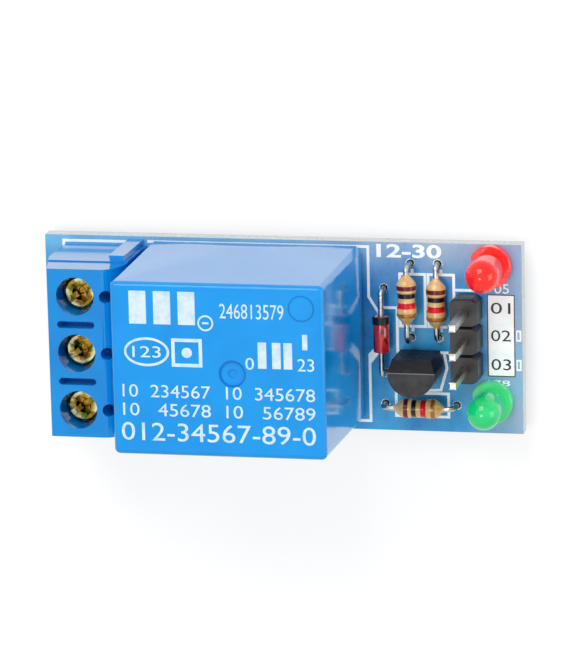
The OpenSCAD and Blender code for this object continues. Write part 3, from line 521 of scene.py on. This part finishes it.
def tube(mesh, path, radius, sides=20):
    """Round wire along a path that stays in one upright plane."""
    along = (path[-1] - path[0]).to_2d()
    across = Vector((-along.y, along.x, 0)).normalized()
    levels = []
    for i, point in enumerate(path):
        way = (path[min(i + 1, len(path) - 1)] - path[max(i - 1, 0)]).normalized()
        rise = way.cross(across)
        levels.append([point + radius * (across * math.cos(t) + rise * math.sin(t))
                       for t in (math.tau * k / sides for k in range(sides))])
    loft(mesh, levels)


# ---------- Pieces with a closer form than the CAD's ----------

RES_D, RES_WAIST, RES_END = 1.72, 1.50, 2.25  # width, width at the waist, and half the length
WIRE_R, BEND_R = 0.25, 0.55
SKIN, SUNK = 0.016, 0.04  # a band's paint above the body, and how deep it is let in
BOW = 0.32  # how far the relay cover's long sides stand out at the rim


def resistor_profile():
    """Half of a resistor: waist, bulb, and a cone of lacquer down to the wire."""
    neck = [(RES_WAIST / 2 + (RES_D - RES_WAIST) / 4 * (1 - math.cos(math.radians(t))), 0.6 + 0.12 * t / 180)
            for t in range(0, 181, 30)]
    sleeve = WIRE_R + 0.06
    cone = [(RES_D / 2 - (RES_D / 2 - sleeve) * t * (0.6 + 0.4 * t), 1.4 + 0.7 * t)
            for t in (i / 6 for i in range(7))]
    return neck + cone + [(WIRE_R + 0.03, RES_END)]


def radius_at(profile, along):
    """Radius of the resistor's half profile at a distance from its middle."""
    along = abs(along)
    if along <= profile[0][1]:
        return profile[0][0]
    for (r0, z0), (r1, z1) in zip(profile, profile[1:]):
        if along <= z1:
            return r0 + (r1 - r0) * (along - z0) / max(z1 - z0, 1e-9)
    return profile[-1][0]


def wire_path(start, hole, z, foot):
    """Points from the body's end out to the bend, round it and down to the lead's tip."""
    flat = Vector((hole.x - start.x, hole.y - start.y, 0))
    way = flat.normalized()
    bend = Vector((hole.x, hole.y, z)) - way * BEND_R
    path = [Vector((start.x, start.y, z)) - way * 0.1]
    for i in range(9):
        t = math.pi / 2 * i / 8
        path.append(bend + way * BEND_R * math.sin(t) - Vector((0, 0, BEND_R * (1 - math.cos(t)))))
    return path + [Vector((hole.x, hole.y, foot))]


# Colour bands as (name, from, to) in millimetres from the body's middle; brown lies towards +Y or -X
BANDS = (("brown", 0.91, 1.30), ("black", 0.20, 0.60), ("red", -0.71, -0.21), ("gold", -1.52, -1.16))
# Each resistor's axis, the way its brown end points, and its body's shift from the CAD's place
RESISTORS = {1: ("Y", 1, (0, 0.50, 0)), 2: ("Y", 1, (0, 0, 0)), 3: ("X", -1, (0.1, 0, -0.5))}


def resistors(lacquered, wire_metal, paints):
    profile = resistor_profile()
    half = [(r, -z) for r, z in reversed(profile)] + profile
    bands = {name: bmesh.new() for name, _, _ in BANDS}
    for number, (axis, brown_side, shift) in RESISTORS.items():
        _, _, middle = box_mm(f"resistor_{number}")
        low, high, _ = box_mm(f"resistor_{number}_wires")
        middle = middle + Vector(shift)
        body = bmesh.new()
        lathe(body, middle, axis, half)
        piece(f"resistor_body_{number}", body, lacquered, [f"resistor_{number}"])
        for name, start, end in BANDS:
            steps = [start + (end - start) * i / 6 for i in range(7)]
            skin = [(radius_at(profile, z) + SKIN, z * brown_side) for z in steps]
            sunk = [(radius_at(profile, z) - SUNK, z * brown_side) for z in (steps[-1], steps[0])]
            lathe(bands[name], middle, axis, skin + sunk + skin[:1], caps=False)
        unit = Vector((1, 0, 0)) if axis == "X" else Vector((0, 1, 0))
        wires = bmesh.new()
        for side, end in ((-1, low), (1, high)):
            hole = (low + high) / 2
            if axis == "X":
                hole.x = end.x - side * WIRE_R
            else:
                hole.y = end.y - side * WIRE_R
            tube(wires, wire_path(middle + unit * side * RES_END, hole, middle.z, low.z), WIRE_R)
        piece(f"resistor_leads_{number}", wires, wire_metal, [f"resistor_{number}_wires"])
    for name, mesh in bands.items():
        piece(f"resistor_rings_{name}", mesh, paints[name], [f"bands_{name}"])


def diode(glass, black):
    """Slim glass bead with square ends, and a black band over one of them."""
    _, _, middle = box_mm("diode_glass")
    radius, half, edge, band, proud = 0.70, 1.62, 0.12, 0.72, 0.07
    bead = bmesh.new()
    curve = [(radius - edge * (1 - math.cos(t)), half - edge * (1 - math.sin(t)))
             for t in (math.pi / 2 * i / 5 for i in range(6))]
    end = (0.2, half)
    shape = [end] + curve[::-1]
    lathe(bead, middle, "Y", [(r, -z) for r, z in shape] + shape[::-1])
    piece("diode_bead", bead, glass, ["diode_glass"])
    ring = bmesh.new()
    outer, inner = radius + proud, radius - 0.03
    far, near, round_off = half - 0.02, half - band, 0.06
    lathe(ring, middle, "Y", [
        (inner, near), (outer - round_off, near), (outer, near + round_off), (outer, far - round_off),
        (outer - round_off, far), (inner, far), (inner, near)], caps=False)
    piece("diode_collar", ring, black, ["diode_band"])


def lens(name, node, material):
    """Domed lens with a flange that is flat on the side of the marked leg."""
    low, _, middle = box_mm(node)
    radius, rim, rim_high, tall, edge = 1.475, 1.9, 1.0, 5.9, 0.08
    dome = [(radius * math.cos(t), tall - radius + radius * math.sin(t))
            for t in (math.pi / 2 * i / 12 for i in range(12))]
    flange = [(rim - edge, 0), (rim, edge), (rim, rim_high - edge), (rim - edge, rim_high),
              (radius, rim_high)]
    mesh = bmesh.new()
    place = Vector((low.x + rim + 0.12, middle.y, low.z))
    lathe(mesh, place, "Z", flange + dome + [(0.05, tall)])
    flat = place.x - radius - 0.1
    for vert in mesh.verts:
        vert.co.x = max(vert.co.x, flat)
    piece(name, mesh, material, [node])


def transistor():
    """Half-round body whose top slopes down from the parting line to the flat face."""
    low, high, middle = box_mm("transistor_body")
    radius = (high.x - low.x) / 2
    centre_y = low.y + radius
    parting = high.y - 1.1
    drop = 0.3

    def side(y):
        return math.sqrt(radius ** 2 - (y - centre_y) ** 2)

    start = math.asin((parting - centre_y) / radius)
    turn = [start - (math.pi + 2 * start) * i / 36 for i in range(37)]
    outline = [(side(high.y), high.y, drop)]
    outline += [(radius * math.cos(t), centre_y + radius * math.sin(t), 0) for t in turn]
    outline += [(-side(high.y), high.y, drop)]
    mesh = bmesh.new()
    foot = [mesh.verts.new((middle.x + x, y, low.z)) for x, y, _ in outline]
    top = [mesh.verts.new((middle.x + x, y, high.z - down)) for x, y, down in outline]
    count = len(outline)
    for i in range(count):
        j = (i + 1) % count
        mesh.faces.new((foot[i], foot[j], top[j], top[i]))
    mesh.faces.new(foot)
    mesh.faces.new(top[1:-1])
    mesh.faces.new((top[0], top[1], top[-2], top[-1]))
    piece("transistor_case", mesh, black_epoxy(parting * MM), ["transistor_body"])


def header(material):
    """Three eight-sided segments with a bevelled joint between them."""
    low, high, middle = box_mm("header_body")
    pitch = (high.y - low.y) / 3
    wide, half, lean, notch, groove, deep = (high.x - low.x) / 2, pitch / 2, 0.35, 0.5, 0.14, 0.22
    mesh = bmesh.new()
    for i in (-1, 0, 1):
        def ring(z, pull):
            reach = half - pull
            points = (
                (-wide, -half + lean), (-wide + notch, -reach), (wide - notch, -reach), (wide, -half + lean),
                (wide, half - lean), (wide - notch, reach), (-wide + notch, reach), (-wide, half - lean))
            return [(middle.x + x, middle.y + i * pitch + y, z) for x, y in points]
        loft(mesh, [ring(low.z, 0.005), ring(high.z - deep, 0.005), ring(high.z, groove)])
    piece("header_segments", mesh, material, ["header_body"], smooth=False)


def bow_cover():
    """Bends the relay cover's long sides out towards the rim."""
    low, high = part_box("relay_cover")
    size = high - low
    data = bpy.data.lattices.new("cover_bow")
    data.points_u, data.points_v, data.points_w = 5, 2, 2
    data.interpolation_type_u = "KEY_CARDINAL"
    data.interpolation_type_v = data.interpolation_type_w = "KEY_LINEAR"
    holder = bpy.data.objects.new("cover_bow", data)
    holder.location = (low + high) / 2
    holder.scale = size * 1.001
    bpy.context.scene.collection.objects.link(holder)
    out = BOW * MM / holder.scale.y
    for point in data.points:
        if point.co.z < 0:
            point.co_deform.y += math.copysign(out * (1 - (2 * point.co.x) ** 2), point.co.y)
    bend = NODES["relay_cover"].modifiers.new("bow", "LATTICE")
    bend.object = holder


def deepen_slots():
    """Cuts the slots between the terminal's poles down to their real depth."""
    _, high, _ = box_mm("terminal_housing")
    screws = [box_mm(f"clamp_screw_{k}")[2] for k in (1, 2, 3)]
    mesh = bmesh.new()
    length, radius, deep = 3.35, 0.31, 2.0
    straight = length / 2 - radius
    for first, second in zip(screws, screws[1:]):
        x, y = first.x, (first.y + second.y) / 2
        ring = [(x + end * (straight + radius * math.cos(t)), y + end * radius * math.sin(t))
                for end in (1, -1) for t in (math.pi * (i / 10 - 0.5) for i in range(11))]
        loft(mesh, [[(px, py, z) for px, py in ring] for z in (high.z - deep, high.z + 0.5)])
    cutter = bpy.data.objects.new("slot_cutter", metres_mesh("slot_cutter", mesh))
    bpy.context.scene.collection.objects.link(cutter)
    cutter.hide_render = True
    cutter.hide_viewport = True
    cut = NODES["terminal_housing"].modifiers.new("slots", "BOOLEAN")
    cut.operation = "DIFFERENCE"
    cut.solver = "EXACT"
    cut.object = cutter


def mask_rings(mask):
    """Solder mask that closes over the pads of the component side and leaves a thin rim round each hole."""
    _, top, _ = box_mm("board")
    thick, sunk, slope = 0.008, 0.02, 0.02
    wire_ring, light_ring = (0.40, 0.79), (0.37, 0.94)
    sites = []
    for node in ("resistor_1_wires", "resistor_2_wires", "diode_wires"):
        low, high, middle = box_mm(node)
        sites += [(middle.x, y, *wire_ring) for y in (low.y + WIRE_R, high.y - WIRE_R)]
    low, high, middle = box_mm("resistor_3_wires")
    sites += [(x, middle.y, *wire_ring) for x in (low.x + WIRE_R, high.x - WIRE_R)]
    for node in ("red_frame", "green_frame"):
        low, high, middle = box_mm(node)
        sites += [(x, middle.y, *light_ring) for x in (low.x + WIRE_R, high.x - WIRE_R)]
    mesh = bmesh.new()
    for x, y, inner, outer in sites:
        profile = [(inner, -sunk), (inner, thick), (outer - slope, thick), (outer, -sunk), (inner, -sunk)]
        lathe(mesh, (x, y, top.z), "Z", profile, caps=False)
    piece("mask_rings", mesh, mask)


# ---------- Printed marks ----------

RISE = 0.000006  # metres that print stands out of the surface it is on
SINK = 0.000010  # and metres that it is let in


class Print:
    """Flat marks on one face, gathered into one piece, in millimetres from the face's origin."""

    def __init__(self, name, origin, rise=RISE):
        self.name = name
        self.origin = Vector(origin)
        self.rise = rise
        self.mesh = bmesh.new()

    def add(self, part):
        """Takes over a bmesh that is already in place, between z = 0 and 1."""
        for vert in part.verts:
            height = self.rise if vert.co.z > 0.5 else -SINK
            vert.co = self.origin + Vector((vert.co.x * MM, vert.co.y * MM, height))
        data = bpy.data.meshes.new(self.name)
        part.to_mesh(data)
        part.free()
        self.mesh.from_mesh(data)
        bpy.data.meshes.remove(data)

    def outline(self, points, hole=None):
        """Filled shape, or the strip between it and a hole of as many points."""
        part = bmesh.new()
        levels = [[part.verts.new((x, y, z)) for x, y in ring]
                  for z in (0, 1) for ring in (points, hole) if ring]
        count = len(points)
        if hole:
            low, low_in, high, high_in = levels
            for i in range(count):
                j = (i + 1) % count
                part.faces.new((high[i], high[j], high_in[j], high_in[i]))
                part.faces.new((low[i], high[i], high_in[i], low_in[i]))
                part.faces.new((low[i], low[j], high[j], high[i]))
                part.faces.new((low_in[i], high_in[i], high_in[j], low_in[j]))
        else:
            low, high = levels
            part.faces.new(high)
            for i in range(count):
                j = (i + 1) % count
                part.faces.new((low[i], low[j], high[j], high[i]))
        bmesh.ops.recalc_face_normals(part, faces=part.faces)
        self.add(part)

    def bar(self, x, y, wide, high):
        """Upright rectangle about its middle."""
        u, v = wide / 2, high / 2
        self.outline([(x - u, y - v), (x + u, y - v), (x + u, y + v), (x - u, y + v)])

    def frame(self, x, y, wide, high, line):
        """Rectangle drawn as a line of one width inside its edges."""
        u, v = wide / 2, high / 2
        corners = ((-1, -1), (1, -1), (1, 1), (-1, 1))
        self.outline([(x + i * u, y + j * v) for i, j in corners],
                     [(x + i * (u - line), y + j * (v - line)) for i, j in corners])

    def path(self, points, line):
        """Line of one width through points, with mitred corners and square ends."""
        points = [Vector(point) for point in points]
        ways = [(end - start).normalized() for start, end in zip(points, points[1:])]
        points[0] -= ways[0] * line / 2
        points[-1] += ways[-1] * line / 2
        left, right = [], []
        for point, before, after in zip(points, ways[:1] + ways, ways + ways[-1:]):
            side = Vector((-before.y, before.x))
            mitre = (side + Vector((-after.y, after.x))).normalized()
            reach = mitre * line / 2 / mitre.dot(side)
            left.append(point + reach)
            right.append(point - reach)
        self.outline(left + right[::-1])

    def ring(self, x, y, wide, high, line):
        """Round or oval ring."""
        turn = [math.tau * i / 48 for i in range(48)]
        outer = [(x + wide / 2 * math.cos(t), y + high / 2 * math.sin(t)) for t in turn]
        inner = [(x + (wide / 2 - line) * math.cos(t), y + (high / 2 - line) * math.sin(t)) for t in turn]
        self.outline(outer, inner)

    def disc(self, x, y, across):
        turn = [math.tau * i / 48 for i in range(48)]
        self.outline([(x + across / 2 * math.cos(t), y + across / 2 * math.sin(t)) for t in turn])

    def digits(self, text, x, y, wide, high, weight=0.0):
        """Row of digits that fills a box about its middle."""
        curve = bpy.data.curves.new(self.name, "FONT")
        curve.body = text
        curve.offset = weight
        curve.extrude = 0.5
        curve.resolution_u = 4
        holder = bpy.data.objects.new(self.name, curve)
        bpy.context.scene.collection.objects.link(holder)
        bpy.context.view_layer.update()
        graph = bpy.context.evaluated_depsgraph_get()
        data = bpy.data.meshes.new_from_object(holder.evaluated_get(graph))
        part = bmesh.new()
        part.from_mesh(data)
        xs = [v.co.x for v in part.verts]
        ys = [v.co.y for v in part.verts]
        for vert in part.verts:
            vert.co.x = x + ((vert.co.x - min(xs)) / (max(xs) - min(xs)) - 0.5) * wide
            vert.co.y = y + ((vert.co.y - min(ys)) / (max(ys) - min(ys)) - 0.5) * high
            vert.co.z = 1.0 if vert.co.z > 0 else 0.0
        self.add(part)
        bpy.data.objects.remove(holder)
        bpy.data.curves.remove(curve)
        bpy.data.meshes.remove(data)

    def finish(self, material, replaced=()):
        data = bpy.data.meshes.new(self.name)
        self.mesh.to_mesh(data)
        self.mesh.free()
        place_piece(self.name, data, material, replaced)


def face_origin(node):
    """Middle of a node's upper face."""
    low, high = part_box(node)
    return ((low.x + high.x) / 2, (low.y + high.y) / 2, high.z)


def cover_rings():
    """Flat darker rings of painted shade where the cover has shallow grooves: an ejector's mark, and one
    round the vent.
    """
    p = Print("cover_rings", face_origin("relay_cover"))
    p.ring(7.43, 5.67, 2.3, 2.3, 0.13)
    p.ring(1.3, -0.2, 2.4, 2.4, 0.15)
    # Painted shade: a darker blue stands in for the shade in the grooves.
    groove = moulded("cover_groove_shade", srgb(0, 112, 196), srgb(0, 124, 208), rough=0.2, shine=0.15)
    p.finish(groove)


def print_relay():
    """Plain shapes and rows of digits on the relay, laid out like a maker's marking."""
    p = Print("relay_print", face_origin("relay_cover"))
    for x in (-6.9, -4.75, -2.6):
        p.bar(x, 5.45, 1.5, 2.9)
    p.ring(-0.95, 4.2, 1.4, 1.4, 0.15)
    p.bar(-0.95, 4.2, 0.55, 0.18)
    p.digits("246813579", 3.1, 5.3, 5.6, 1.3)
    p.ring(-6.2, 1.55, 4.0, 2.55, 0.22)
    p.digits("123", -6.2, 1.55, 2.5, 1.0)
    p.frame(-2.65, 1.55, 2.7, 2.5, 0.3)
    p.disc(-2.65, 1.55, 0.9)
    p.digits("0", 2.85, 0.75, 0.75, 1.05)
    for x in (3.95, 5.2, 6.2):
        p.bar(x, 1.5, 0.75, 2.3)
    p.digits("1", 7.7, 2.75, 0.45, 1.35)
    p.digits("23", 7.75, 0.75, 1.45, 1.1)
    rows = ((-1.9, "10  234567", "10  345678"), (-3.55, "10   45678", "10   56789"))
    for y, left, right in rows:
        p.digits(left, -4.55, y, 7.75, 1.12)
        p.digits(right, 4.6, y, 7.8, 1.12)
    p.digits("012-34567-89-0", -0.05, -5.5, 17.1, 1.6)
    p.finish(pad_print())


INK_W = 0.24  # width of the outlines on the board
INK_RISE = 0.03 * MM  # height of the ink there, as in the CAD
# The white field beside the header: middle, width and height in millimetres from the board's middle
LABEL = (19.63, 0.335, 2.46, 7.39)


def outline_relay(p, diode_at):
    """Line round three sides of the relay, which swerves past the diode and has a solid wedge there."""
    low, high, _ = box_mm("relay_cover")
    x, y, bump = high.x + 0.45, diode_at.y, 0.9
    head, foot = high.y + 0.03, low.y - 0.1
    p.path([(low.x, head), (x, head), (x, y + 3.0), (x + bump, y + 1.5)], INK_W)
    p.path([(x + bump, y - 1.9), (x, y - 3.0), (x, foot), (low.x, foot)], INK_W)
    edge = x - INK_W / 2
    p.outline([(edge, y - 2.2), (x + bump, y - 1.1), (x + bump, y - 1.9), (edge, y - 3.1)])


def outline_terminal(p):
    low, high, _ = box_mm("terminal_housing")
    left, right, foot, head = low.x - 0.14, high.x - 1.9, low.y - 0.3, high.y - 0.25
    p.path([(right, foot), (left, foot), (left, head), (right, head)], INK_W)


def outline_resistors(p):
    """Box round each resistor, and a tick at both ends of the two upright ones."""
    places = {1: (0.17, 0.0, 2.25, 4.69), 2: (0.27, 0.0, 2.28, 4.69), 3: (0.1, -0.05, 4.7, 2.1)}
    for number, (shift_x, shift_y, wide, high) in places.items():
        _, _, middle = box_mm(f"resistor_{number}")
        x, y = middle.x + shift_x, middle.y + shift_y
        p.frame(x, y, wide + INK_W, high + INK_W, INK_W)
        if number < 3:
            for side in (-1, 1):
                p.bar(x, y + side * (high / 2 + 0.3), INK_W, 0.35)


def print_outlines():
    """Outlines of the parts on the board, and the white field beside the header."""
    _, board, _ = box_mm("board")
    p = Print("board_outlines", (0.0, 0.0, board.z * MM), rise=INK_RISE)
    _, _, diode_at = box_mm("diode_glass")
    outline_relay(p, diode_at)
    outline_terminal(p)
    outline_resistors(p)
    _, corner, case = box_mm("transistor_body")
    _, _, inner = box_mm("resistor_2")
    _, _, pins = box_mm("header_body")
    x, head, foot = diode_at.x + 1.16, diode_at.y + 2.05, corner.y - 0.4
    p.path([(diode_at.x, head), (x, head), (x, foot), (inner.x + 0.75, foot)], INK_W)
    beside = ((2.025, 0.975), (2.225, -0.155), (1.655, -2.155), (0.485, -2.225))
    p.path([(case.x + u, case.y + v) for u, v in beside], INK_W)
    p.path([(pins.x - 1.05, pins.y + 4.07), (pins.x + 1.4, pins.y + 4.07)], INK_W)
    p.bar(*LABEL)
    p.finish(INK, ["printed_ink"])


def print_board():
    """Number at the end of the board and small marks beside the lights and the label."""
    p = Print("board_print", face_origin("board"), rise=INK_RISE + 0.002 * MM)
    p.digits("12-30", 11.5, 7.72, 5.8, 1.22, weight=0.025)
    p.digits("05", 19.7, 4.55, 1.3, 0.85)
    p.digits("678", 19.2, -3.95, 2.3, 0.5)
    for y in (0.35, -2.3):
        p.outline([(20.95, y - 0.5), (21.4, y - 0.5), (21.4, y + 0.5), (20.95, y + 0.5)],
                  [(21.05, y - 0.35), (21.25, y - 0.35), (21.25, y + 0.35), (21.05, y + 0.35)])
    p.finish(INK)


def print_label(black):
    """Thin dark outline and contact numbers on the white field beside the header."""
    _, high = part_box("printed_ink")
    p = Print("label_print", (0.0, 0.0, high.z))
    p.frame(*LABEL, 0.09)
    for text, y in (("01", 2.8), ("02", 0.33), ("03", -2.27)):
        p.digits(text, 19.6, y, 1.75, 1.0)
    p.finish(black)


def dress_terminal():
    housing = moulded("terminal_plastic", srgb(0, 140, 220), srgb(6, 152, 232), rough=0.16, shine=0.15,
                      coat=1.0)
    paint(housing, "terminal_housing")
    paint(metal("clamp_brass", srgb(150, 118, 48), srgb(206, 174, 92)), "clamp_frames")
    paint(zinc_screw(), *(f"clamp_screw_{k}" for k in (1, 2, 3)))
    steel = metal("guard_steel", srgb(160, 162, 164), srgb(206, 208, 210), stretch=(1, 8, 8))
    paint(steel, *(f"wire_guard_{k}" for k in (1, 2, 3)))


def dress_relay():
    cover = moulded("cover_plastic", srgb(0, 148, 232), srgb(4, 158, 242), rough=0.1, shine=0.15, coat=1.0)
    paint(cover, "relay_cover")
    cover_rings()
    paint(moulded("base_plastic", srgb(16, 92, 172), srgb(26, 108, 190)), "relay_base")
    paint(moulded("bobbin_plastic", srgb(206, 204, 192), srgb(228, 226, 216)), "relay_bobbin")
    paint(winding_copper(), "relay_winding")
    iron = metal("relay_iron", srgb(128, 130, 132), srgb(180, 182, 184))
    paint(iron, "relay_core", "relay_yoke", "relay_armature")
    spring = metal("spring_copper", srgb(160, 104, 62), srgb(206, 150, 98), stretch=(1, 8, 1))
    paint(spring, "relay_spring_arm", "relay_spring_anchor")
    silver = metal("contact_silver", srgb(200, 200, 198), srgb(232, 232, 230))
    paint(silver, "relay_moving_contact", "relay_fixed_contacts")
    blades = metal("blade_copper", srgb(178, 122, 84), srgb(214, 164, 122))
    paint(blades, "relay_open_blade", "relay_closed_blade", "relay_common_blade")


def dress_small_parts(black):
    """Header, leads, resistors, diode, transistor and lights."""
    header(moulded("header_plastic", srgb(20, 20, 22), srgb(34, 34, 36), rough=0.32, shine=0.4,
                   depth=0.000012))
    pins = metal("pin_metal", srgb(176, 170, 158), srgb(222, 215, 204), rough=(0.22, 0.36), lump=0.0012,
                 depth=0.000003, stretch=(2, 2, 0.4))
    paint(pins, "header_pins")
    wire = metal("tinned_wire", srgb(164, 163, 156), srgb(206, 205, 198), rough=(0.2, 0.36), lump=0.0015,
                 depth=0.000004)
    paint(wire, "diode_wires", "transistor_legs", "relay_coil_pins", "red_frame", "green_frame")
    resistors(lacquer(), wire, {
        "brown": band_paint("paint_brown", srgb(84, 14, 10), srgb(126, 34, 24)),
        "black": black,
        "red": band_paint("paint_red", srgb(206, 8, 16), srgb(236, 24, 28)),
        "gold": band_paint("paint_gold", srgb(150, 92, 30), srgb(198, 142, 62), metallic=0.3)})
    diode(diode_bead(), black)
    paint(metal("diode_chip", srgb(70, 70, 74), srgb(110, 110, 112)), "diode_chip")
    transistor()
    # The last colour of each lens is the paler light painted on its flange.
    red = tinted_lens("red_epoxy", srgb(248, 4, 0), srgb(255, 26, 6), srgb(246, 76, 74))
    lens("red_dome", "red_lens", red)
    green = tinted_lens("green_epoxy", srgb(0, 188, 104), srgb(20, 214, 126), srgb(120, 232, 156))
    lens("green_dome", "green_lens", green)


def dress_board():
    mask = solder_mask()
    paint(mask, "board")
    mask_rings(mask)
    paint(tinned_copper(), "plated_holes")
    paint(solder(), "solder_joints")


INK = white_ink()
make_camera()
make_world(ambient=0.54)
soft_lamp("key", (-0.10, 0.45, 0.42), 0.35, 0.40)
soft_lamp("head", (-0.03, -0.02, 0.46), 0.12, 0.18)
soft_lamp("side", (0.50, 0.02, 0.20), 0.30, 0.24)
make_floor(albedo=0.45, lift=0.62)
black_paint = band_paint("paint_black", srgb(8, 8, 8), srgb(24, 21, 20))
dress_board()
dress_terminal()
dress_relay()
dress_small_parts(black_paint)
bow_cover()
deepen_slots()
print_outlines()
print_relay()
print_board()
print_label(black_paint)

scene = bpy.context.scene
scene.view_settings.view_transform = "Standard"
